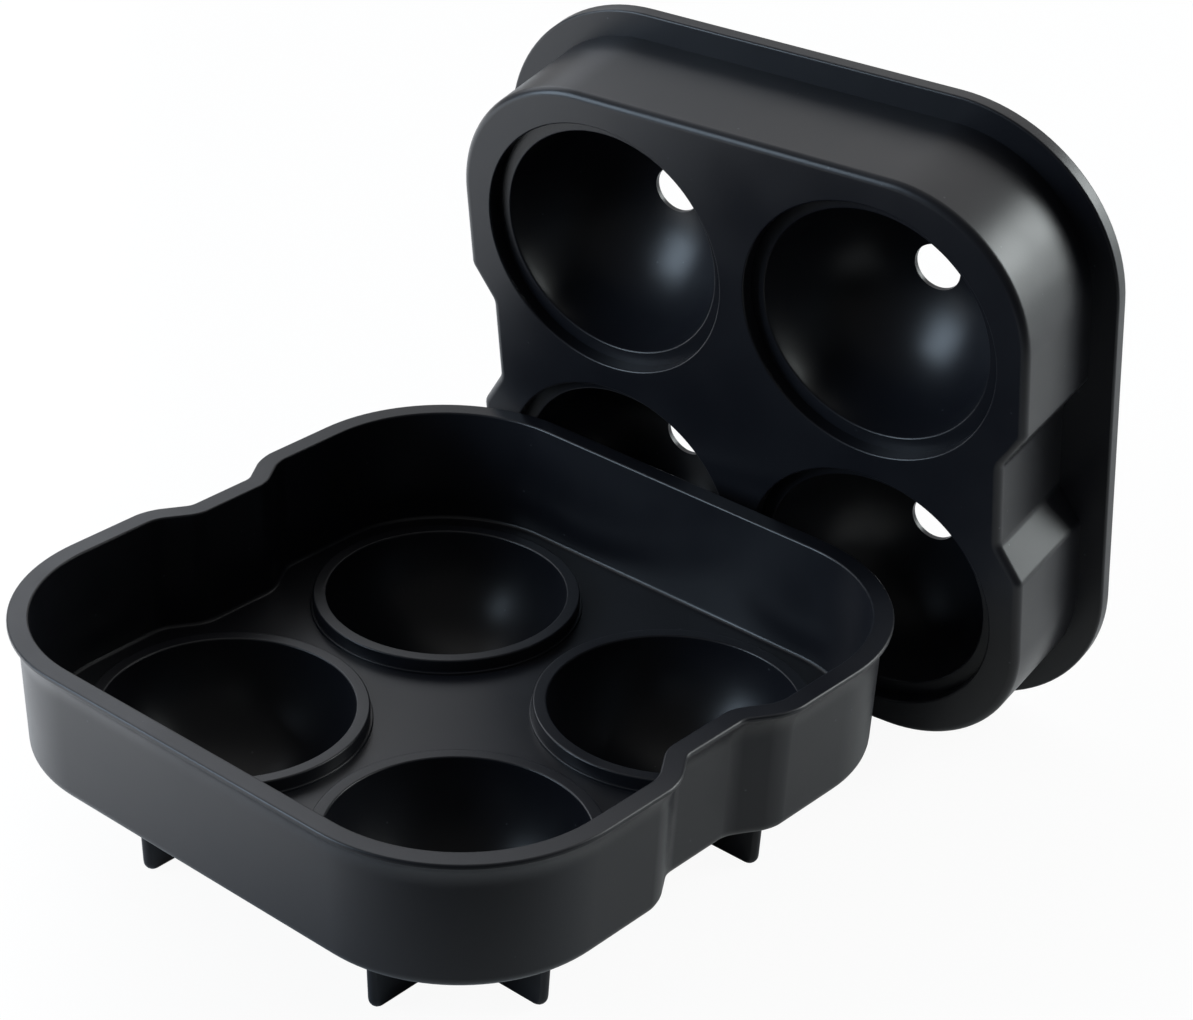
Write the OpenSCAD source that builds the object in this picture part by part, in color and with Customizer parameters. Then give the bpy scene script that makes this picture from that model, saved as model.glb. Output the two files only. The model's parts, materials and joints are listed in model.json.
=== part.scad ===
// Silicone ice ball mold in two mouldings: a square tray with four hemispherical
// cups, and a plug lid with four matching domes that stands on edge behind the tray.
// Millimetres, +Z up. The origin is the middle of the tray, on the table.

/* [Ball] */
// Diameter of the moulded ball
ball_d = 45; // [35:0.5:60]
// Distance between neighbouring balls, middle to middle
pitch = 55.6; // [54:0.1:70]

/* [Well] */
// Width of the tray's well between its plain walls
well_w = 119.4; // [118:0.2:150]
// Corner radius of the well in plan
well_r = 28; // [20:0.5:32]
// Depth of the well from the rim down to its floor
well_depth = 22.9; // [18:0.1:30]
// How far the two side notches step into the well
notch_d = 4.5; // [2:0.1:5]
// Width of a notch along its inner face
notch_w = 16.6; // [12:0.2:20]
// Width of a notch where its slanted shoulders meet the wall
notch_mouth = 30.8; // [26:0.2:36]

/* [Tray] */
// Thickness of the tray's side wall
wall_t = 1.9; // [1.5:0.1:2.8]
// Thickness of the tray's floor
floor_t = 3; // [2:0.1:5]
// Width of the flat rim around the well
rim_w = 3.8; // [3:0.1:6]
// Height of the rim's outer lip
lip_h = 2.6; // [2:0.1:5]
// Width of the rebate along the rim's inner edge
rebate_w = 0.6; // [0.4:0.1:1]
// Depth of the rebate along the rim's inner edge
rebate_h = 0.7; // [0.5:0.1:1.5]

/* [Cups] */
// Wall thickness of the cups and domes
cup_t = 2.2; // [1.6:0.1:2.6]
// Width of the raised ring around each cup's mouth
ring_w = 2.55; // [2:0.05:2.6]
// Height of the ring above the floor
ring_h = 2.8; // [2:0.1:4]
// Thickness of the crossed fins under each cup
fin_t = 2; // [1.6:0.1:4]
// Reach of a fin from the cup's middle
fin_reach = 20.6; // [16:0.2:22]
// Radius of a fin's lower outer corner
fin_tip_r = 1.6; // [0.5:0.1:3]
// Height of the cups' bottoms above the table
cup_lift = 0.6; // [0.2:0.1:4]

/* [Lid] */
// Thickness of the lid's flange
flange_t = 2.8; // [2:0.1:5]
// Overhang of the flange past the tray's rim
flange_over = 0.7; // [0:0.1:2]
// Thickness of the plug's side skirt
skirt_t = 2.2; // [1.6:0.1:3]
// Thickness of silicone behind the recess that takes a ring
seat_t = 2.4; // [1.6:0.1:4]
// Diameter of the fill hole at the top of each dome
fill_d = 9.2; // [5:0.1:14]

/* [Fits] */
// Gap between the plug and the well all round
plug_gap = 0.6; // [0.3:0.05:1]
// Gap between the plug's face and the tray's floor when the lid is on
face_gap = 0.3; // [0.2:0.05:0.6]
// Gap between a ring and its recess in the lid
ring_gap = 0.2; // [0.1:0.05:0.4]
// Gap between the lid's land and the rim's rebate
land_gap = 0.2; // [0.1:0.05:0.4]

/* [Lid place] */
// Sideways place of the lid's middle
lid_x = 8.1; // [-20:0.1:20]
// Gap between the standing lid and the rim that it leans towards
lean_gap = 0.3; // [0.2:0.1:20]
// Turn of the standing lid about the vertical
lid_turn = 6.4; // [0:0.1:12]
// Forward lean of the standing lid
lid_lean = 8.6; // [0:0.1:12]

/* [Hidden] */
$fn = 96;
// Overshoot that keeps cutting shapes clear of the faces they cut
cut = 1;
ball_r = ball_d / 2;
cup_r = ball_r + cup_t;
ring_r = ball_r + ring_w;
// Heights in the tray: ball middle and ring top, floor, underside, rim
ball_z = cup_lift + cup_r;
floor_z = ball_z - ring_h;
under_z = floor_z - floor_t;
rim_z = floor_z + well_depth;
// Depths in the lid, measured back from the plug's face
plug_depth = well_depth - face_gap;
recess_h = ring_h - face_gap + ring_gap;
recess_r = ring_r + ring_gap;
plate_t = recess_h + seat_t;
flange_back = plug_depth + flange_t;
land_h = rebate_h - land_gap;
// Half width and corner radius of the flange
flange_half = well_w / 2 + rim_w + flange_over;
rim_half = well_w / 2 + rim_w;
rim_r = well_r + rim_w;
// Run and length of a notch's slanted shoulder in plan
shoulder_run = (notch_mouth - notch_w) / 2;
shoulder_len = sqrt(notch_d * notch_d + shoulder_run * shoulder_run);
// Height of the lid's middle when the flange's lower front edge is on the table
lid_z = flange_half * cos(lid_lean) - plug_depth * sin(lid_lean);
// Place of the lid's middle that keeps its face lean_gap from the rim's far corner arc
rim_arc = rim_half - rim_r;
lean_run = (rim_arc + lid_x) * sin(lid_turn) + rim_arc * cos(lid_turn) + rim_r;
lid_y = (lean_run + (lean_gap - (lid_z - rim_z) * sin(lid_lean)) / cos(lid_lean)) / cos(lid_turn);
// The corners that carry a cup or dome
CORNERS = [[-1, -1], [1, -1], [1, 1], [-1, 1]];

// Square with true round corners
module round_square(half, r) {
    square([2 * half, 2 * (half - r)], center = true);
    square([2 * (half - r), 2 * half], center = true);
    for (c = CORNERS)
        translate((half - r) * c) circle(r);
}

// Plan of the well, stepped in by inset all round, with its two side notches
module plan(inset) {
    half = well_w / 2 - inset;
    widen = inset * (shoulder_len - shoulder_run) / notch_d;
    inner = notch_w / 2 + widen;
    outer = notch_mouth / 2 + widen;
    flare = (outer - inner) / notch_d;
    difference() {
        round_square(half, well_r - inset);
        for (side = [-1, 1])
            scale([side, 1])
                polygon([[half - notch_d, -inner], [half + cut, -outer - flare * cut],
                         [half + cut, outer + flare * cut], [half - notch_d, inner]]);
    }
}

// Places its children at each ball's middle in plan
module at_corners() {
    for (c = CORNERS)
        translate(pitch / 2 * c) children();
}

// Rim, side wall and floor, with a ring around each cup's mouth
module tray_basin() {
    color("#26272a")
    difference() {
        union() {
            difference() {
                union() {
                    translate([0, 0, under_z]) linear_extrude(rim_z - under_z) plan(-wall_t);
                    translate([0, 0, rim_z - lip_h]) linear_extrude(lip_h) plan(-rim_w);
                }
                translate([0, 0, floor_z]) linear_extrude(well_depth + cut) plan(0);
                translate([0, 0, rim_z - rebate_h]) linear_extrude(rebate_h + cut) plan(-rebate_w);
            }
            at_corners() translate([0, 0, floor_z - cut]) cylinder(r = ring_r, h = ring_h + cut);
        }
        at_corners() translate([0, 0, ball_z]) sphere(ball_r);
    }
}

// Side view of the crossed fins: a plate with round lower corners
module fin_profile() {
    height = ball_z - sqrt(cup_r * cup_r - fin_reach * fin_reach) + cup_t / 2;
    flat = fin_reach - fin_tip_r;
    translate([-flat, 0]) square([2 * flat, height]);
    translate([-fin_reach, fin_tip_r]) square([2 * fin_reach, height - fin_tip_r]);
    for (side = [-1, 1])
        translate([side * flat, fin_tip_r]) circle(fin_tip_r);
}

// Lower part of a cup, below the floor, standing on its crossed fins
module bowl(corner) {
    color("#222326")
    translate(pitch / 2 * [corner[0], corner[1], 0])
    difference() {
        union() {
            intersection() {
                translate([0, 0, ball_z]) sphere(cup_r);
                translate([-cup_r, -cup_r, 0]) cube([2 * cup_r, 2 * cup_r, under_z]);
            }
            for (turn = [0, 90])
                rotate([90, 0, turn])
                    translate([0, 0, -fin_t / 2]) linear_extrude(fin_t) fin_profile();
        }
        translate([0, 0, ball_z]) sphere(ball_r);
    }
}

// Stands the lid on its flange behind the tray; its face looks along local +Z
module lid_place() {
    translate([lid_x, lid_y, lid_z]) rotate([90 + lid_lean, 0, lid_turn]) children();
}

// Outside of a dome, about its ball's middle, from its seat on the face plate back to its top
module dome_form() {
    intersection() {
        sphere(cup_r);
        translate([-cup_r, -cup_r, -cup_r]) cube([2 * cup_r, 2 * cup_r, cup_r - seat_t]);
    }
}

// Flange, skirt and face plate of the lid, with a recess for each ring and room for each dome
module lid_plate() {
    hollow = plug_gap + skirt_t;
    color("#232427")
    lid_place()
    difference() {
        union() {
            translate([0, 0, -plug_depth]) linear_extrude(plug_depth) plan(plug_gap);
            translate([0, 0, -plug_depth - cut / 2]) linear_extrude(land_h + cut / 2) plan(land_gap - rebate_w);
            translate([0, 0, -flange_back]) linear_extrude(flange_t) round_square(flange_half, rim_r + flange_over);
        }
        translate([0, 0, -flange_back - cut]) linear_extrude(flange_back - plate_t + cut) plan(hollow);
        at_corners() translate([0, 0, -recess_h]) cylinder(r = recess_r, h = recess_h + cut);
        at_corners() translate([0, 0, -recess_h]) sphere(ball_r);
        at_corners() translate([0, 0, -recess_h]) dome_form();
    }
}

// Back part of a dome, behind the face plate, with its fill hole
module dome(corner) {
    color("#202124")
    lid_place()
    translate([pitch / 2 * corner[0], pitch / 2 * corner[1], -recess_h])
    difference() {
        dome_form();
        sphere(ball_r);
        translate([0, 0, -cup_r - cut]) cylinder(d = fill_d, h = cup_r);
    }
}

tray_basin();
for (i = [0:3])
    bowl(CORNERS[i]);
lid_plate();
for (i = [0:3])
    dome(CORNERS[i]);
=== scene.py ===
import json
import math

import bmesh
import bpy
from mathutils import Matrix, Vector


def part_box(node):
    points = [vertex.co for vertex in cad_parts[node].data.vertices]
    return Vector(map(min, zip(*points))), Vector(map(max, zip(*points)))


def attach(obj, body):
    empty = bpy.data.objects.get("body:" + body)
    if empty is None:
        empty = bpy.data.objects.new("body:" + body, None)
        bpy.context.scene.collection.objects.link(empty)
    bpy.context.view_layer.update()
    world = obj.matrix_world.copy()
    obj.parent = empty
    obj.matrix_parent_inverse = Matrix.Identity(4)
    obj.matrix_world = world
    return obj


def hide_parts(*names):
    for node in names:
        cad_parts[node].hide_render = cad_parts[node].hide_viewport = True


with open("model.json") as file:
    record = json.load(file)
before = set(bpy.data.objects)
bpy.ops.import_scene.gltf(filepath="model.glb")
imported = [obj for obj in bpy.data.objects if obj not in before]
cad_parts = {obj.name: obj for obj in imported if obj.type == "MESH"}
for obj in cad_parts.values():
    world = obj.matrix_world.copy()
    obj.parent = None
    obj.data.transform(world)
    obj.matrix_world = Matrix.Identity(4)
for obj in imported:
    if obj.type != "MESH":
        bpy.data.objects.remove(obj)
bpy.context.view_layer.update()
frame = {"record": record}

bl_info = {
    "name": "Ice ball mold",
    "version": (1, 0, 0),
    "blender": (4, 5, 0),
    "location": "3D View > Sidebar > Mold",
    "description": "Models a silicone ice ball mold around its frame: tray, lid and studio stage",
    "category": "Object",
}

MM = 0.001
CORNERS = ((-1, -1), (1, -1), (1, 1), (-1, 1))
TRAY_NODES = ("tray_basin", "bowl_1", "bowl_2", "bowl_3", "bowl_4")
LID_NODES = ("lid_plate", "dome_1", "dome_2", "dome_3", "dome_4")
# Steps along curved stretches
CORNER_STEPS = 28
NOTCH_STEPS = 8
EDGE_STEPS = 5
FLARE_STEPS = 8
FOOT_STEPS = 8
PLUG_STEPS = 7
FIN_TIP_STEPS = 6
FIN_EDGE_STEPS = 4
TURN_STEPS = 144
SPHERE_STEPS = 44
# Distance within which two places count as the same, and a finer one for seams
SAME = 0.02 * MM
SEAM = SAME / 10
# Overshoot that carries cutting shapes past the faces they cut
PAST = 3 * MM
# Least radius of a notch's corners in plan
LEAST_ROUND = 0.35 * MM
# Bends: the largest that counts as straight, and the smallest that is shaded or eased as an edge
STRAIGHT = math.radians(0.5)
SHADED_EDGE = math.radians(32)
EASED_EDGE = math.radians(60)
# Values of the cloud noise between which the bloom grows, and between which the roughness wanders
BLOOM_RANGE = (0.35, 0.75)
ROUGH_RANGE = (0.3, 0.7)

# Stage values, with directions and distances from the tray's middle

# The photograph's frame in pixels
PHOTO_W = 1193
PHOTO_H = 1020
# The nearest that the camera sees, and the floor's width
CLIP_START = 10 * MM
FLOOR_W = 6000 * MM
# White's share of what the camera sees on the floor near the part, and where it grows to all
WHITE_SHARE = 0.94
WHITE_FROM = 300 * MM
WHITE_TO = 1200 * MM
# Painted shade: the floor's colour, as the part sees it, darkens towards the front, down to a small share
FRONT = (0.67, -0.74, 0)
FRONT_FROM = 40 * MM
FRONT_TO = 170 * MM
PAINTED_FRONT_SHARE = 0.05
# Painted light: a glow painted on the floor, with no lamp, grows towards the left
LEFT = (-0.65, -0.76, 0)
LEFT_FROM = 30 * MM
LEFT_TO = 150 * MM
PAINTED_LEFT_GLOW = 1.1
# The surround's light grows towards a direction behind and above; from and to are cosines of the angle to it
BEHIND = (-0.5, 0.6, 0.62)
BEHIND_FROM = 0.2
BEHIND_TO = 0.75
SURROUND_DIM = 0.1
SURROUND_BRIGHT = 0.42
# The place between tray and lid that the soft boxes face, and their distance from it
LIT_PLACE = (5 * MM, 20 * MM, 50 * MM)
BOX_REACH = 1000 * MM
# Soft boxes: turn, rise, width and height in degrees as seen from the part, then radiance and tint
SOFT_BOXES = (
    ("key box", -126, 18, 28, 32, 8.5, "#d6ebff"),
    ("side box", 53, 20, 32, 38, 4.4, "#f8ffff"),
    ("side core", 53, 26, 20, 18, 6.5, "#f8ffff"),
    ("back box", 172, 38, 55, 30, 1.8, "#f0f6ff"),
    ("high box", 100, 45, 45, 26, 0.9, "#ffffff"),
)


def length(name, words, millimetres):
    """A length property in metres, with its default given in millimetres."""
    return bpy.props.FloatProperty(name=name, description=words, default=millimetres * MM,
                                   unit="LENGTH", precision=5)


def angle(name, words, degrees):
    """An angle property in radians, with its default given in degrees."""
    return bpy.props.FloatProperty(name=name, description=words, default=math.radians(degrees),
                                   unit="ROTATION", precision=5)


def share(name, words, part):
    """A property from nothing to one."""
    return bpy.props.FloatProperty(name=name, description=words, default=part, min=0, max=1,
                                   subtype="FACTOR")


def hex_colour(name, words, value):
    """A colour property, written as an sRGB hex value."""
    return bpy.props.StringProperty(name=name, description=words, default=value)


class MoldSizes(bpy.types.PropertyGroup):
    """Sizes of the two mouldings."""
    ball_r: length("Ball radius", "Radius of the moulded ball", 22.5)
    pitch: length("Ball spacing", "Distance between neighbouring balls", 55.6)
    cup_t: length("Cup wall", "Wall thickness of cups and domes", 2.2)
    well_w: length("Well width", "Width of the tray's well between its plain walls", 119.4)
    well_r: length("Well corner", "Corner radius of the well in plan", 28)
    well_depth: length("Well depth", "Depth of the well below the rim", 22.9)
    notch_d: length("Notch depth", "How far the side notches step into the well", 4.5)
    notch_w: length("Notch width", "Width of a notch along its inner face", 16.6)
    notch_mouth: length("Notch mouth", "Width of a notch where its shoulders meet the wall", 30.8)
    notch_swell: length("Notch swell", "Radius of a shoulder's outer corner on the well's plan", 6)
    notch_hollow: length("Notch hollow", "Radius of a shoulder's inner corner on the well's plan", 7)
    rim_w: length("Rim width", "Width of the flat rim around the well", 3.8)
    rim_round: length("Rim round", "Edge radius of the rim", 0.4)
    lip_h: length("Lip height", "Height of the rim's outer edge above the flare under it", 0.9)
    flare_h: length("Flare height", "Height of the flare that runs from the lip down into the wall", 5)
    wall_t: length("Wall", "Thickness of the tray's wall", 1.9)
    draft: length("Draft", "How far the walls lean in over their height", 0.6)
    floor_t: length("Floor", "Thickness of the tray's floor", 3)
    floor_round: length("Floor round", "Radius where the well's wall meets its floor", 0.8)
    foot_round: length("Foot round", "Radius along the wall's lower outer edge", 2.4)
    ring_w: length("Ring width", "Width of the ring around a cup's mouth", 2.55)
    ring_h: length("Ring height", "Height of the ring above the floor", 2.8)
    ring_step: length("Ring step", "Width of the low step at a ring's foot", 0.5)
    ring_round: length("Ring round", "Edge radius of the ring", 0.35)
    fin_t: length("Fin", "Thickness of the crossed fins", 2)
    fin_reach: length("Fin reach", "Reach of a fin from its cup's middle", 20.6)
    fin_tip_r: length("Fin tip", "Radius of a fin's lower outer corner", 2.2)
    fin_round: length("Fin round", "Radius along a fin's edges", 0.9)
    fin_flare: length("Fin flare", "How far a fin widens from its foot to its cup", 0.5)
    flange_t: length("Flange", "Thickness of the lid's flange", 2.8)
    flange_over: length("Flange overhang", "Overhang of the flange past the tray's rim", 0.7)
    flange_round: length("Flange round", "Edge radius of the flange", 0.45)
    plug_gap: length("Plug gap", "Gap between plug and well", 0.6)
    plug_swell: length("Plug swell", "Radius of a notch shoulder's outer corner on the plug", 3)
    plug_hollow: length("Plug hollow", "Radius of a notch shoulder's inner corner on the plug", 2)
    plug_round: length("Plug round", "Radius along the plug's front edge", 1.5)
    plug_draft: length("Plug draft", "How far the plug's sides lean in towards its face", 0.15)
    face_gap: length("Face gap", "Gap between the plug's face and the tray's floor when closed", 0.3)
    ring_gap: length("Ring gap", "Gap between a ring and its recess", 0.2)
    skirt_t: length("Skirt", "Thickness of the plug's side wall", 2.2)
    seat_t: length("Seat", "Silicone left behind a ring's recess", 2.4)
    fill_r: length("Fill hole", "Radius of the fill hole", 4.6)
    fill_land: length("Fill edge", "Length of the fill hole's straight edge before it opens outwards", 0.9)


class SiliconeLook(bpy.types.PropertyGroup):
    """Colour and surface of the black silicone."""
    body: hex_colour("Body", "Colour of the silicone, sRGB hex", "#15161b")
    dust: hex_colour("Dust", "Colour of dust and bloom, sRGB hex", "#3a3c40")
    rough: share("Roughness", "Roughness of the moulded skin", 0.34)
    rough_swing: share("Roughness swing", "How far the roughness wanders to either side", 0.04)
    ior: bpy.props.FloatProperty(name="IOR", description="Index of refraction of silicone rubber",
                                 default=1.43)
    cloud: length("Clouds", "Size of the clouds of bloom and of rougher skin", 18)
    bloom: share("Bloom", "Most that the bloom covers", 0.06)
    speck_gap: length("Speck spacing", "Distance between dust specks", 5)
    speck_r: length("Speck", "Radius of a dust speck", 0.25)
    speck_core: length("Speck core", "Radius within which a dust speck covers fully", 0.15)
    grain: length("Grain", "Size of the mould's fine spark grain, drawn coarse enough to show", 0.35)
    grain_h: length("Grain height", "Height of the spark grain", 0.02)
    grain_show: share("Grain strength", "How strongly the spark grain shows", 0.3)


class StudioSettings(bpy.types.PropertyGroup):
    """Camera and floor."""
    turn: angle("Turn", "Camera's turn about the vertical", 42.154)
    rise: angle("Rise", "Camera's height angle", 30.025)
    roll: angle("Roll", "Camera's roll", 1.1055)
    reach: length("Reach", "Distance from the camera to its aim", 582.27)
    aim: bpy.props.FloatVectorProperty(name="Aim", description="Point that the camera's axis meets",
                                       default=(-27.107 * MM, 43.565 * MM, 25.3 * MM), unit="LENGTH")
    focal_px: bpy.props.FloatProperty(name="Focal", description="Focal length in photograph pixels",
                                      default=3055.2, subtype="PIXEL")
    middle_px: bpy.props.FloatVectorProperty(name="Middle", description="Pixel where the camera's axis falls",
                                             size=2, default=(506.15, 561.5))
    floor: hex_colour("Floor", "Colour of the floor, sRGB hex", "#f4f4f4")


# Selection and modelling helpers


def deselect():
    """Leaves nothing selected, in object mode."""
    if bpy.context.mode != "OBJECT":
        bpy.ops.object.mode_set(mode="OBJECT")
    bpy.ops.object.select_all(action="DESELECT")


def only(obj):
    """Selects obj alone and makes it active."""
    deselect()
    obj.select_set(True)
    bpy.context.view_layer.objects.active = obj


def choose(obj, kind, test):
    """In edit mode, selects the verts or faces of obj that pass a test of their place."""
    bpy.ops.mesh.select_mode(type="VERT" if kind == "verts" else "FACE")
    bpy.ops.mesh.select_all(action="DESELECT")
    mesh = bmesh.from_edit_mesh(obj.data)
    for item in getattr(mesh, kind):
        spot = item.co if kind == "verts" else item.calc_center_median()
        if test(spot):
            item.select_set(True)
    mesh.select_flush_mode()
    bmesh.update_edit_mesh(obj.data)


def round_corners(obj, test, offset, steps):
    """Rounds the plan corners that pass the test; offset is the run of the round along each side."""
    choose(obj, "verts", test)
    bpy.ops.mesh.bevel(offset=offset, offset_type="OFFSET", segments=steps, affect="VERTICES")


def square_start(name, half, z):
    """A plain square face at height z, left in edit mode."""
    deselect()
    bpy.ops.mesh.primitive_plane_add(size=2 * half)
    obj = bpy.context.object
    obj.name = name
    bpy.ops.object.mode_set(mode="EDIT")
    bpy.ops.mesh.select_all(action="SELECT")
    bpy.ops.transform.translate(value=(0, 0, z))
    return obj


def square_face(name, half, corner_r, z):
    """A flat rounded square face at height z, left in edit mode."""
    obj = square_start(name, half, z)
    round_corners(obj, lambda p: abs(p.x) > half - SAME and abs(p.y) > half - SAME, corner_r, CORNER_STEPS)
    return obj


def plan_face(name, inset, z, swell_r, hollow_r):
    """The well's plan stepped in by inset, with its side notches, as a flat face left in edit mode.

    The radii of a notch's outer and inner corners are those on the well's own plan.
    """
    s = bpy.context.scene.mold_sizes
    half = s.well_w / 2 - inset
    run = (s.notch_mouth - s.notch_w) / 2
    slant = math.hypot(s.notch_d, run)
    widen = inset * (slant - run) / s.notch_d
    inner = s.notch_w / 2 + widen
    outer = s.notch_mouth / 2 + widen
    half_turn = math.tan(math.atan2(s.notch_d, run) / 2)
    swell = max(swell_r - inset, LEAST_ROUND) * half_turn
    hollow = max(hollow_r + inset, LEAST_ROUND) * half_turn
    obj = square_start(name, half, z)
    for y in (-outer, -inner, inner, outer):
        bpy.ops.mesh.select_all(action="SELECT")
        bpy.ops.mesh.bisect(plane_co=(0, y, z), plane_no=(0, 1, 0))
    for side in (-1, 1):
        choose(obj, "verts", lambda p: side * p.x > half - SAME and abs(p.y) < inner + SAME)
        bpy.ops.transform.translate(value=(-side * s.notch_d, 0, 0))
    bpy.ops.mesh.select_all(action="SELECT")
    bpy.ops.mesh.dissolve_limited(angle_limit=STRAIGHT)
    round_corners(obj, lambda p: abs(p.y) > half - SAME, s.well_r - inset, CORNER_STEPS)
    round_corners(obj, lambda p: abs(p.x) > half - SAME and abs(abs(p.y) - outer) < SAME, swell, NOTCH_STEPS)
    round_corners(obj, lambda p: abs(abs(p.x) - half + s.notch_d) < SAME and abs(abs(p.y) - inner) < SAME,
                  hollow, NOTCH_STEPS)
    return obj


def raise_face(height):
    """Extrudes the flat face that is being edited into a block."""
    bpy.ops.mesh.select_mode(type="FACE")
    bpy.ops.mesh.select_all(action="SELECT")
    bpy.ops.mesh.extrude_region_move(TRANSFORM_OT_translate={"value": (0, 0, height)})


def follow(start, profile):
    """Carries the selected cap face along a profile of (step in, height) places, from its start place."""
    at_in, at_z = start
    for to_in, to_z in profile:
        step_in = to_in - at_in
        if step_in > SEAM:
            bpy.ops.mesh.inset(thickness=step_in, depth=0, use_boundary=True, use_even_offset=True)
            bpy.ops.transform.translate(value=(0, 0, to_z - at_z))
        else:
            bpy.ops.mesh.extrude_region_move(TRANSFORM_OT_translate={"value": (0, 0, to_z - at_z)})
        at_in, at_z = to_in, to_z


def round_edge(middle, radius, start_deg, end_deg, steps=EDGE_STEPS):
    """Places along a round about a middle, in profile, without the place that it starts from."""
    places = []
    for i in range(1, steps + 1):
        a = math.radians(start_deg + (end_deg - start_deg) * i / steps)
        places.append((middle[0] + radius * math.cos(a), middle[1] + radius * math.sin(a)))
    return places


def quarter():
    """Cuts the block that is being edited along the lines through the ball places.

    No hole for a ball then falls inside a single face.
    """
    half = bpy.context.scene.mold_sizes.pitch / 2
    for along in (0, 1):
        for place in (-half, 0, half):
            spot = [0, 0, 0]
            spot[along] = place
            way = [0, 0, 0]
            way[along] = 1
            bpy.ops.mesh.select_all(action="SELECT")
            bpy.ops.mesh.bisect(plane_co=spot, plane_no=way)


def close_block(obj):
    """Leaves edit mode with faces merged at their seams and pointing outwards."""
    bpy.ops.mesh.select_mode(type="VERT")
    bpy.ops.mesh.select_all(action="SELECT")
    bpy.ops.mesh.remove_doubles(threshold=SEAM)
    bpy.ops.mesh.normals_make_consistent(inside=False)
    bpy.ops.object.mode_set(mode="OBJECT")
    return obj


def turned(name, profile):
    """A closed solid turned about the vertical axis from a profile of (radius, height) places."""
    deselect()
    mesh = bpy.data.meshes.new(name)
    verts = [(r, 0, z) for r, z in profile]
    mesh.from_pydata(verts, [(i, i + 1) for i in range(len(verts) - 1)], [])
    obj = bpy.data.objects.new(name, mesh)
    bpy.context.collection.objects.link(obj)
    only(obj)
    bpy.ops.object.mode_set(mode="EDIT")
    bpy.ops.mesh.select_all(action="SELECT")
    bpy.ops.mesh.spin(steps=TURN_STEPS, angle=2 * math.pi, center=(0, 0, 0), axis=(0, 0, 1))
    return close_block(obj)


def four_of(obj):
    """Copies a form made about the axis to the four ball places, as one object with its own mesh."""
    s = bpy.context.scene.mold_sizes
    copies = []
    for x, y in CORNERS:
        copy = obj.copy()
        copy.data = obj.data.copy()
        bpy.context.collection.objects.link(copy)
        copy.data.transform(Matrix.Translation((x * s.pitch / 2, y * s.pitch / 2, 0)))
        copies.append(copy)
    bpy.data.objects.remove(obj)
    deselect()
    for copy in copies:
        copy.select_set(True)
    bpy.context.view_layer.objects.active = copies[0]
    bpy.ops.object.join()
    return bpy.context.object


def combine(obj, other, operation):
    """Joins other to obj, or cuts it out, and removes it."""
    only(obj)
    tool = obj.modifiers.new(operation.title(), "BOOLEAN")
    tool.operation = operation
    tool.solver = "EXACT"
    tool.object = other
    bpy.ops.object.modifier_apply(modifier=tool.name)
    bpy.data.objects.remove(other)


def finish_piece(obj, material, body, nodes):
    """Smooths the shading, dresses the piece and hangs it on its body in place of its nodes."""
    only(obj)
    bpy.ops.object.mode_set(mode="EDIT")
    bpy.ops.mesh.select_all(action="SELECT")
    bpy.ops.mesh.remove_doubles(threshold=SEAM)
    bpy.ops.object.mode_set(mode="OBJECT")
    bpy.ops.object.shade_smooth_by_angle(angle=SHADED_EDGE)
    weigh = obj.modifiers.new("Weigh normals", "WEIGHTED_NORMAL")
    weigh.keep_sharp = True
    bpy.ops.object.modifier_apply(modifier=weigh.name)
    obj.data.materials.clear()
    obj.data.materials.append(material)
    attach(obj, body)
    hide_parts(*nodes)


# Materials


def linear(value):
    """Linear RGBA from an sRGB hex colour."""
    digits = value.lstrip("#")
    channels = [int(digits[i:i + 2], 16) / 255 for i in (0, 2, 4)]
    return [c / 12.92 if c <= 0.04045 else ((c + 0.055) / 1.055) ** 2.4 for c in channels] + [1.0]


def node(tree, kind, settings=None, inputs=None, links=None):
    """Adds a node with its settings, its input values and its links from (node, output) pairs."""
    made = tree.nodes.new(kind)
    for key, value in (settings or {}).items():
        setattr(made, key, value)
    for key, value in (inputs or {}).items():
        made.inputs[key].default_value = value
    for key, (source, output) in (links or {}).items():
        tree.links.new(source.outputs[output], made.inputs[key])
    return made


def blank(name):
    """A new material with an empty node tree and its output node."""
    material = bpy.data.materials.new(name)
    material.use_nodes = True
    material.node_tree.nodes.clear()
    return material, material.node_tree, material.node_tree.nodes.new("ShaderNodeOutputMaterial")


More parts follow.
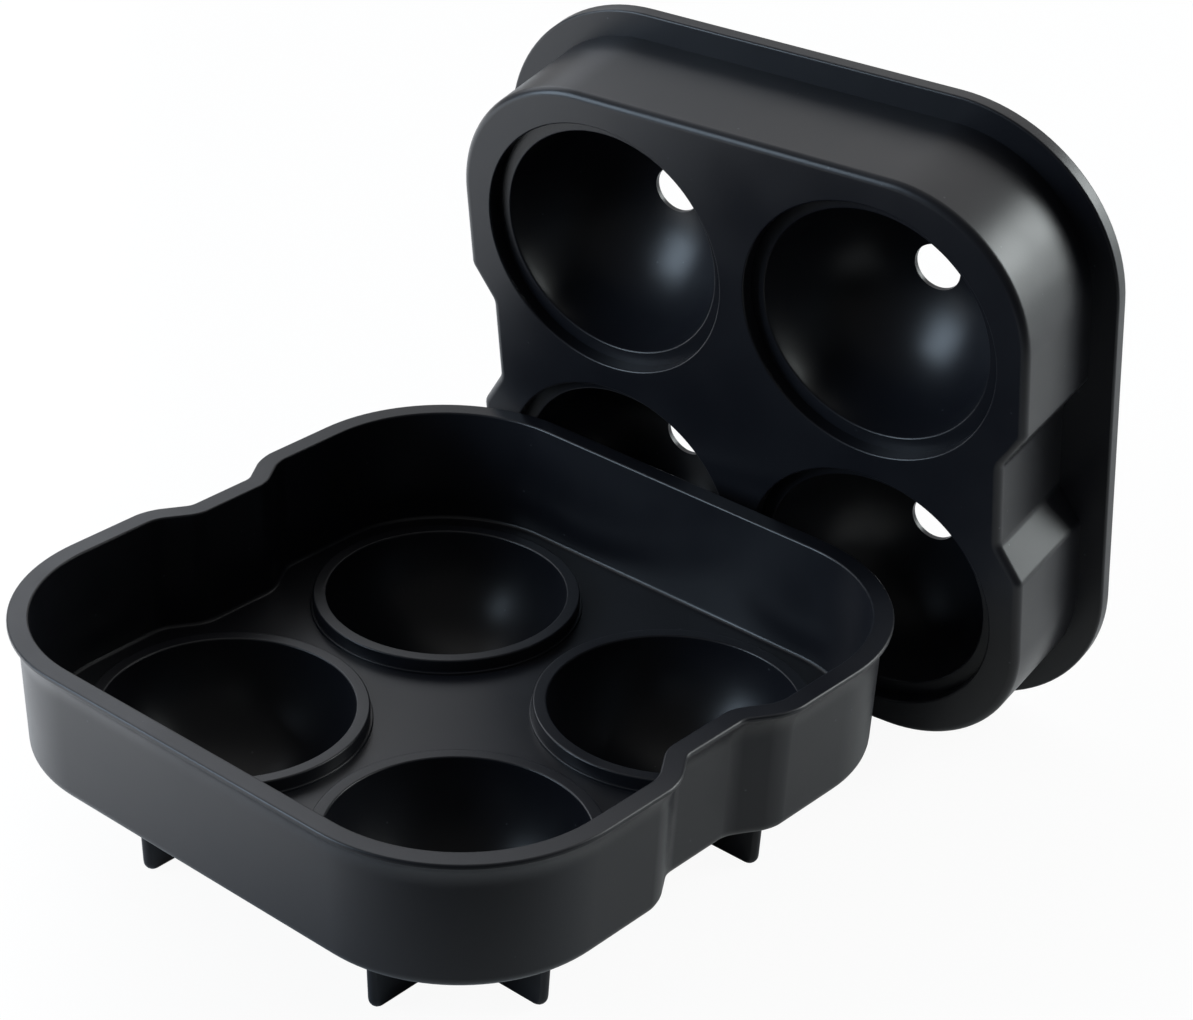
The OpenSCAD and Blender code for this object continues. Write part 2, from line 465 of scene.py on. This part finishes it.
def black_silicone():
    """Moulded black silicone rubber.

    Its satin skin gives broad soft glows, with a fine spark grain, a trace of bloom and a few dust specks.
    """
    look = bpy.context.scene.silicone_look
    material, tree, out = blank("Black silicone, moulded satin")
    place = node(tree, "ShaderNodeTexCoord")
    cloud = node(tree, "ShaderNodeTexNoise", inputs={"Scale": 1 / look.cloud, "Detail": 3.0},
                 links={"Vector": (place, "Object")})
    grain = node(tree, "ShaderNodeTexNoise", inputs={"Scale": 1 / look.grain, "Detail": 2.0},
                 links={"Vector": (place, "Object")})
    bloom = node(tree, "ShaderNodeMapRange",
                 inputs={"From Min": BLOOM_RANGE[0], "From Max": BLOOM_RANGE[1],
                         "To Min": 0.0, "To Max": look.bloom},
                 links={"Value": (cloud, "Fac")})
    cells = node(tree, "ShaderNodeTexVoronoi", inputs={"Scale": 1 / look.speck_gap},
                 links={"Vector": (place, "Object")})
    specks = node(tree, "ShaderNodeMapRange",
                  inputs={"From Min": look.speck_r / look.speck_gap,
                          "From Max": look.speck_core / look.speck_gap,
                          "To Min": 0.0, "To Max": 1.0},
                  links={"Value": (cells, "Distance")})
    dusty = node(tree, "ShaderNodeMath", {"operation": "MAXIMUM"},
                 links={0: (bloom, "Result"), 1: (specks, "Result")})
    colour = node(tree, "ShaderNodeMix", {"data_type": "RGBA"},
                  {"A": linear(look.body), "B": linear(look.dust)}, {"Factor": (dusty, "Value")})
    rough = node(tree, "ShaderNodeMapRange",
                 inputs={"From Min": ROUGH_RANGE[0], "From Max": ROUGH_RANGE[1],
                         "To Min": look.rough - look.rough_swing, "To Max": look.rough + look.rough_swing},
                 links={"Value": (cloud, "Fac")})
    bump = node(tree, "ShaderNodeBump", inputs={"Strength": look.grain_show, "Distance": look.grain_h},
                links={"Height": (grain, "Fac")})
    skin = node(tree, "ShaderNodeBsdfPrincipled", inputs={"IOR": look.ior},
                links={"Base Color": (colour, "Result"), "Roughness": (rough, "Result"),
                       "Normal": (bump, "Normal")})
    tree.links.new(skin.outputs["BSDF"], out.inputs["Surface"])
    return material


def pale_floor():
    """Matt pale floor, which the camera sees as white with a soft shadow.

    The part sees it with a painted glow at the left and painted shade in front.
    """
    material, tree, out = blank("Pale studio floor")
    path = node(tree, "ShaderNodeLightPath")
    place = node(tree, "ShaderNodeTexCoord")
    front = node(tree, "ShaderNodeVectorMath", {"operation": "DOT_PRODUCT"}, {1: FRONT},
                 {0: (place, "Object")})
    # Painted shade: the floor's colour, as the part sees it, darkens towards the front
    near = node(tree, "ShaderNodeMapRange", {"interpolation_type": "SMOOTHSTEP"},
                {"From Min": FRONT_FROM, "From Max": FRONT_TO, "To Min": 1.0, "To Max": PAINTED_FRONT_SHARE},
                {"Value": (front, "Value")})
    seen = node(tree, "ShaderNodeMath", {"operation": "MAXIMUM"},
                links={0: (path, "Is Camera Ray"), 1: (near, "Result")})
    colour = node(tree, "ShaderNodeMix", {"data_type": "RGBA"},
                  {"A": (0, 0, 0, 1), "B": linear(bpy.context.scene.studio_settings.floor)},
                  {"Factor": (seen, "Value")})
    plain = node(tree, "ShaderNodeBsdfDiffuse", links={"Color": (colour, "Result")})
    left = node(tree, "ShaderNodeVectorMath", {"operation": "DOT_PRODUCT"}, {1: LEFT},
                {0: (place, "Object")})
    # Painted light: a glow painted on the floor, with no lamp, grows towards the left and fades under the
    # painted shade in front
    painted_glow_share = node(tree, "ShaderNodeMapRange", {"interpolation_type": "SMOOTHSTEP"},
                {"From Min": LEFT_FROM, "From Max": LEFT_TO, "To Max": PAINTED_LEFT_GLOW},
                {"Value": (left, "Value")})
    painted_glow_strength = node(tree, "ShaderNodeMath", {"operation": "MULTIPLY"},
                links={0: (painted_glow_share, "Result"), 1: (near, "Result")})
    glow = node(tree, "ShaderNodeEmission", links={"Strength": (painted_glow_strength, "Value")})
    lit = node(tree, "ShaderNodeAddShader", links={0: (plain, "BSDF"), 1: (glow, "Emission")})
    white = node(tree, "ShaderNodeEmission", inputs={"Strength": 1.0})
    distance = node(tree, "ShaderNodeVectorMath", {"operation": "LENGTH"}, links={0: (place, "Object")})
    fade = node(tree, "ShaderNodeMapRange", {"interpolation_type": "SMOOTHSTEP"},
                {"From Min": WHITE_FROM, "From Max": WHITE_TO, "To Min": WHITE_SHARE, "To Max": 1.0},
                {"Value": (distance, "Value")})
    cover = node(tree, "ShaderNodeMath", {"operation": "MULTIPLY"},
                 links={0: (path, "Is Camera Ray"), 1: (fade, "Result")})
    mix = node(tree, "ShaderNodeMixShader",
               links={0: (cover, "Value"), 1: (lit, "Shader"), 2: (white, "Emission")})
    tree.links.new(mix.outputs["Shader"], out.inputs["Surface"])
    return material


# Pieces


class MOLD_OT_tray(bpy.types.Operator):
    """Model the tray: rim, notched wall, floor, four ringed cups and their crossed fins"""
    bl_idname = "mold.tray"
    bl_label = "Tray"

    def execute(self, context):
        s = context.scene.mold_sizes
        cup_r = s.ball_r + s.cup_t
        rim_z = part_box("tray_basin")[1][2]
        under_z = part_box("tray_basin")[0][2]
        floor_z = rim_z - s.well_depth
        ball_z = floor_z + s.ring_h
        tray = self.basin(s, rim_z, floor_z, under_z)
        combine(tray, four_of(self.cup(s, cup_r, ball_z, floor_z, under_z)), "UNION")
        combine(tray, four_of(self.fins(s, cup_r, ball_z)), "UNION")
        combine(tray, four_of(self.hollow(s, ball_z)), "DIFFERENCE")
        tray.name = "tray"
        finish_piece(tray, black_silicone(), "tray", TRAY_NODES)
        return {"FINISHED"}

    def basin(self, s, rim_z, floor_z, under_z):
        """Rim, wall and floor, carried in from the lip's outer edge along one profile above and one below."""
        lip_z = rim_z - s.lip_h
        middle_z = rim_z - s.lip_h / 2
        r = s.rim_round
        obj = plan_face("tray basin", -s.rim_w, middle_z, s.notch_swell, s.notch_hollow)
        raise_face(s.lip_h / 2 - r)
        well_in = s.rim_w + s.draft
        well_z = floor_z + s.floor_round
        above = round_edge((r, rim_z - r), r, 180, 90)
        above.append((s.rim_w - r, rim_z))
        above += round_edge((s.rim_w - r, rim_z - r), r, 90, 0)
        above.append((well_in, well_z))
        above += round_edge((well_in + s.floor_round, well_z), s.floor_round, 180, 270)
        follow((0, rim_z - r), above)
        choose(obj, "faces", lambda p: abs(p.z - middle_z) < SAME)
        wall_in = s.rim_w - s.wall_t
        turn_r = r / 2
        below = [(0, lip_z + turn_r)]
        below += round_edge((turn_r, lip_z + turn_r), turn_r, 180, 270)
        for i in range(1, FLARE_STEPS + 1):
            down = i / FLARE_STEPS
            below.append((turn_r + (wall_in - turn_r) * down * (2 - down), lip_z - s.flare_h * down))
        foot_in = wall_in + s.draft
        foot_z = under_z + s.foot_round
        below.append((foot_in, foot_z))
        below += round_edge((foot_in + s.foot_round, foot_z), s.foot_round, 180, 270, FOOT_STEPS)
        follow((0, middle_z), below)
        quarter()
        return close_block(obj)

    def cup(self, s, cup_r, ball_z, floor_z, under_z):
        """A cup's outside with its ring and the low step at the ring's foot, filled up to the ring's top."""
        join_z = under_z + s.floor_t / 2
        low = math.degrees(math.asin((join_z - ball_z) / cup_r))
        r = s.ring_round
        ring_r = s.ball_r + s.ring_w
        step_r = ring_r + s.ring_step
        step_z = floor_z + s.ring_step
        profile = [(0, ball_z - cup_r)]
        profile += round_edge((0, ball_z), cup_r, -90, low, SPHERE_STEPS)
        profile += [(step_r, join_z), (step_r, step_z - r / 2)]
        profile += round_edge((step_r - r / 2, step_z - r / 2), r / 2, 0, 90)
        profile += [(ring_r, step_z), (ring_r, ball_z - r)]
        profile += round_edge((ring_r - r, ball_z - r), r, 0, 90)
        profile.append((0, ball_z))
        return turned("cup", profile)

    def hollow(self, s, ball_z):
        """The ball's lower half, with the rounded edge of the ring at its mouth."""
        r = s.ring_round
        profile = [(0, ball_z - s.ball_r)]
        profile += round_edge((0, ball_z), s.ball_r, -90, -math.degrees(r / s.ball_r), SPHERE_STEPS)
        profile += round_edge((s.ball_r + r, ball_z - r), r, 180, 90)
        profile += [(s.ball_r + r, ball_z + PAST), (0, ball_z + PAST)]
        return turned("cup hollow", profile)

    def fins(self, s, cup_r, ball_z):
        """Two crossed plates under a cup, with rounded lower corners and eased edges."""
        height = ball_z - math.sqrt(cup_r ** 2 - s.fin_reach ** 2) + s.cup_t / 2
        plates = []
        for along in (0, 1):
            size = (s.fin_t / 2, s.fin_reach) if along else (s.fin_reach, s.fin_t / 2)
            deselect()
            bpy.ops.mesh.primitive_cube_add(size=2)
            plate = bpy.context.object
            bpy.ops.object.mode_set(mode="EDIT")
            bpy.ops.mesh.select_all(action="SELECT")
            bpy.ops.transform.resize(value=(size[0], size[1], height / 2))
            bpy.ops.transform.translate(value=(0, 0, height / 2))
            self.round_tips(plate, along, s.fin_tip_r)
            choose(plate, "verts", lambda p: p.z > height - SAME)
            widen = [1, 1, 1]
            widen[along] = 1 + s.fin_flare / s.fin_reach
            bpy.ops.transform.resize(value=widen)
            close_block(plate)
            ease = plate.modifiers.new("Ease edges", "BEVEL")
            ease.width = s.fin_round
            ease.segments = FIN_EDGE_STEPS
            ease.limit_method = "ANGLE"
            ease.angle_limit = EASED_EDGE
            only(plate)
            bpy.ops.object.modifier_apply(modifier=ease.name)
            plates.append(plate)
        combine(plates[0], plates[1], "UNION")
        return plates[0]

    def round_tips(self, plate, along, radius):
        """Rounds a plate's two lower outer edges; along is the axis that the plate reaches along."""
        mesh = bmesh.from_edit_mesh(plate.data)
        bpy.ops.mesh.select_mode(type="EDGE")
        bpy.ops.mesh.select_all(action="DESELECT")
        for edge in mesh.edges:
            a, b = (v.co for v in edge.verts)
            if a.z < SAME and b.z < SAME and abs(a[along] - b[along]) < SAME:
                edge.select_set(True)
        bmesh.update_edit_mesh(plate.data)
        bpy.ops.mesh.bevel(offset=radius, segments=FIN_TIP_STEPS, affect="EDGES")


class MOLD_OT_lid(bpy.types.Operator):
    """Model the lid: flange, notched plug, four cavities with ring recesses, domes and fill holes"""
    bl_idname = "mold.lid"
    bl_label = "Lid"

    def execute(self, context):
        s = context.scene.mold_sizes
        plug_depth = s.well_depth - s.face_gap
        recess_h = s.ring_h - s.face_gap + s.ring_gap
        back = plug_depth + s.flange_t
        lid = self.flange(s, plug_depth, back)
        combine(lid, self.plug(s, plug_depth), "UNION")
        combine(lid, self.back_hollow(s, back, recess_h + s.seat_t), "DIFFERENCE")
        combine(lid, four_of(self.dome(s, recess_h)), "UNION")
        combine(lid, four_of(self.cavity(s, recess_h)), "DIFFERENCE")
        lid.name = "lid"
        only(lid)
        lid.matrix_world = self.standing_place(s, recess_h)
        bpy.ops.object.transform_apply(location=True, rotation=True, scale=True)
        finish_piece(lid, black_silicone(), "lid", LID_NODES)
        return {"FINISHED"}

    def standing_place(self, s, recess_h):
        """The lid's own axes and middle, read from the fill holes in the record."""
        mounts = {m["name"]: m for m in frame["record"]["mounts"]}
        holes = [Vector(mounts[f"fill_hole_{i}"]["pos_m"]) for i in (1, 2, 3, 4)]
        across = (holes[1] - holes[0]).normalized()
        up = (holes[3] - holes[0]).normalized()
        out = across.cross(up)
        inner = math.sqrt(s.ball_r ** 2 - s.fill_r ** 2)
        outer = math.sqrt((s.ball_r + s.cup_t) ** 2 - s.fill_r ** 2)
        middle = sum(holes, Vector()) / len(holes) + out * (recess_h + (inner + outer) / 2)
        turn = Matrix((across, up, out)).transposed().to_4x4()
        return Matrix.Translation(middle) @ turn

    def flange(self, s, plug_depth, back):
        """The plain rounded square behind the plug, with eased edges."""
        half = s.well_w / 2 + s.rim_w + s.flange_over
        middle_z = -plug_depth - s.flange_t / 2
        r = s.flange_round
        obj = square_face("lid flange", half, s.well_r + s.rim_w + s.flange_over, middle_z)
        raise_face(s.flange_t / 2 - r)
        follow((0, -plug_depth - r), round_edge((r, -plug_depth - r), r, 180, 90))
        choose(obj, "faces", lambda p: abs(p.z - middle_z) < SAME)
        follow((0, middle_z), [(0, r - back)] + round_edge((r, r - back), r, 180, 270))
        return close_block(obj)

    def plug(self, s, plug_depth):
        """The notched plug, from inside the flange to its rounded front edge."""
        root_z = -plug_depth - s.flange_t / 2
        sunk_h = s.flange_t / 4
        r = s.plug_round
        obj = plan_face("lid plug", s.plug_gap, root_z, s.plug_swell, s.plug_hollow)
        raise_face(sunk_h)
        profile = [(s.plug_draft, -r)]
        profile += round_edge((s.plug_draft + r, -r), r, 180, 90, PLUG_STEPS)
        follow((0, root_z + sunk_h), profile)
        quarter()
        return close_block(obj)

    def back_hollow(self, s, back, plate_t):
        """The hollow behind the plug's face, which leaves its skirt."""
        r = s.floor_round
        inset = s.plug_gap + s.skirt_t
        obj = plan_face("lid hollow", inset, -back - PAST, s.plug_swell + s.skirt_t, s.plug_hollow)
        raise_face(PAST + back - plate_t - r)
        follow((0, -plate_t - r), round_edge((r, -plate_t - r), r, 180, 90))
        quarter()
        return close_block(obj)

    def dome(self, s, recess_h):
        """A dome's outside, filled solid from inside the face plate to its top."""
        cup_r = s.ball_r + s.cup_t
        join = -math.degrees(math.asin(s.seat_t / 2 / cup_r))
        profile = [(0, -recess_h - cup_r)]
        profile += round_edge((0, -recess_h), cup_r, -90, join, SPHERE_STEPS)
        profile.append((0, -recess_h - s.seat_t / 2))
        return turned("dome", profile)

    def cavity(self, s, recess_h):
        """A fill hole that opens outwards, the ball's upper half, its ledge and the recess for a ring."""
        recess_r = s.ball_r + s.ring_w + s.ring_gap
        r = s.ring_round
        hole = -math.degrees(math.acos(s.fill_r / s.ball_r))
        far = -recess_h - s.ball_r - s.cup_t - PAST
        mouth_z = -recess_h - math.sqrt(s.ball_r ** 2 - s.fill_r ** 2)
        edge_z = mouth_z - s.fill_land
        profile = [(0, far), (s.fill_r + edge_z - far, far), (s.fill_r, edge_z), (s.fill_r, mouth_z)]
        profile += round_edge((0, -recess_h), s.ball_r, hole, -math.degrees(r / s.ball_r), SPHERE_STEPS)
        profile += round_edge((s.ball_r + r, -recess_h - r), r, 180, 90)
        profile += [(recess_r, -recess_h), (recess_r, -r)]
        profile += round_edge((recess_r + r, -r), r, 180, 90)
        profile += [(recess_r + r, PAST), (0, PAST)]
        return turned("lid cavity", profile)


class MOLD_OT_stage(bpy.types.Operator):
    """Set the pale floor, the white surround, the studio lights and the photograph's camera"""
    bl_idname = "mold.stage"
    bl_label = "Stage"

    def execute(self, context):
        self.floor(context)
        self.surround(context)
        self.lights(context)
        self.camera(context)
        context.scene.view_settings.view_transform = "Standard"
        return {"FINISHED"}

    def floor(self, context):
        """The floor that the part stands on."""
        deselect()
        bpy.ops.mesh.primitive_plane_add(size=FLOOR_W)
        obj = context.object
        obj.name = "floor"
        obj.data.materials.append(pale_floor())

    def surround(self, context):
        """A surround that the camera sees as white; the part sees it bright behind and dim in front."""
        world = bpy.data.worlds.new("White surround")
        context.scene.world = world
        world.use_nodes = True
        tree = world.node_tree
        tree.nodes.clear()
        path = node(tree, "ShaderNodeLightPath")
        place = node(tree, "ShaderNodeTexCoord")
        behind = node(tree, "ShaderNodeVectorMath", {"operation": "DOT_PRODUCT"}, {1: BEHIND},
                      {0: (place, "Generated")})
        studio = node(tree, "ShaderNodeMapRange", {"interpolation_type": "SMOOTHSTEP"},
                      {"From Min": BEHIND_FROM, "From Max": BEHIND_TO,
                       "To Min": SURROUND_DIM, "To Max": SURROUND_BRIGHT},
                      {"Value": (behind, "Value")})
        seen = node(tree, "ShaderNodeMath", {"operation": "MAXIMUM"},
                    links={0: (path, "Is Camera Ray"), 1: (path, "Is Transmission Ray")})
        strength = node(tree, "ShaderNodeMix", {"data_type": "FLOAT"}, {"B": 1.0},
                        {"Factor": (seen, "Value"), "A": (studio, "Result")})
        back = node(tree, "ShaderNodeBackground", inputs={"Color": (1, 1, 1, 1)},
                    links={"Strength": (strength, "Result")})
        out = node(tree, "ShaderNodeOutputWorld")
        tree.links.new(back.outputs["Background"], out.inputs["Surface"])

    def lights(self, context):
        """Soft boxes around the part, which all face the same place."""
        for name, turn, rise, wide, tall, radiance, tint in SOFT_BOXES:
            lamp = bpy.data.lights.new(name, "AREA")
            lamp.shape = "RECTANGLE"
            lamp.size, lamp.size_y = (2 * BOX_REACH * math.tan(math.radians(v) / 2) for v in (wide, tall))
            lamp.energy = radiance * math.pi * lamp.size * lamp.size_y
            lamp.color = linear(tint)[:3]
            obj = bpy.data.objects.new(name, lamp)
            context.collection.objects.link(obj)
            a, e = math.radians(turn), math.radians(rise)
            way = Vector((math.cos(a) * math.cos(e), math.sin(a) * math.cos(e), math.sin(e)))
            obj.location = Vector(LIT_PLACE) + way * BOX_REACH
            obj.rotation_euler = way.to_track_quat("Z", "Y").to_euler()

    def camera(self, context):
        """The photograph's camera: its turn, rise, roll and focal length, with the photograph's framing."""
        c = context.scene.studio_settings
        level = math.cos(c.rise)
        away = Vector((math.sin(c.turn) * level, -math.cos(c.turn) * level, math.sin(c.rise)))
        right = Vector((math.cos(c.turn), math.sin(c.turn), 0))
        up = away.cross(right)
        side = right * math.cos(c.roll) + up * math.sin(c.roll)
        top = up * math.cos(c.roll) - right * math.sin(c.roll)
        data = bpy.data.cameras.new("photograph camera")
        data.sensor_fit = "HORIZONTAL"
        data.lens = c.focal_px * data.sensor_width / PHOTO_W
        data.shift_x = (PHOTO_W / 2 - c.middle_px[0]) / PHOTO_W
        data.shift_y = (c.middle_px[1] - PHOTO_H / 2) / PHOTO_W
        data.clip_start = CLIP_START
        obj = bpy.data.objects.new("photograph camera", data)
        context.collection.objects.link(obj)
        turn_matrix = Matrix((side, top, away)).transposed().to_4x4()
        obj.matrix_world = Matrix.Translation(Vector(c.aim) + away * c.reach) @ turn_matrix
        context.scene.camera = obj


class MOLD_PT_panel(bpy.types.Panel):
    """Lists the mold's pieces and stage"""
    bl_idname = "MOLD_PT_panel"
    bl_label = "Ice ball mold"
    bl_space_type = "VIEW_3D"
    bl_region_type = "UI"
    bl_category = "Mold"

    def draw(self, context):
        for operator in OPERATORS:
            self.layout.operator(operator.bl_idname)


OPERATORS = (MOLD_OT_tray, MOLD_OT_lid, MOLD_OT_stage)
GROUPS = {"mold_sizes": MoldSizes, "silicone_look": SiliconeLook, "studio_settings": StudioSettings}


def register():
    for kind in (*GROUPS.values(), *OPERATORS, MOLD_PT_panel):
        bpy.utils.register_class(kind)
    for name, group in GROUPS.items():
        setattr(bpy.types.Scene, name, bpy.props.PointerProperty(type=group))


def unregister():
    for name in GROUPS:
        delattr(bpy.types.Scene, name)
    for kind in (MOLD_PT_panel, *reversed(OPERATORS), *reversed(GROUPS.values())):
        bpy.utils.unregister_class(kind)


def main():
    register()
    bpy.ops.mold.tray()
    bpy.ops.mold.lid()
    bpy.ops.mold.stage()


if __name__ == "__main__":
    main()
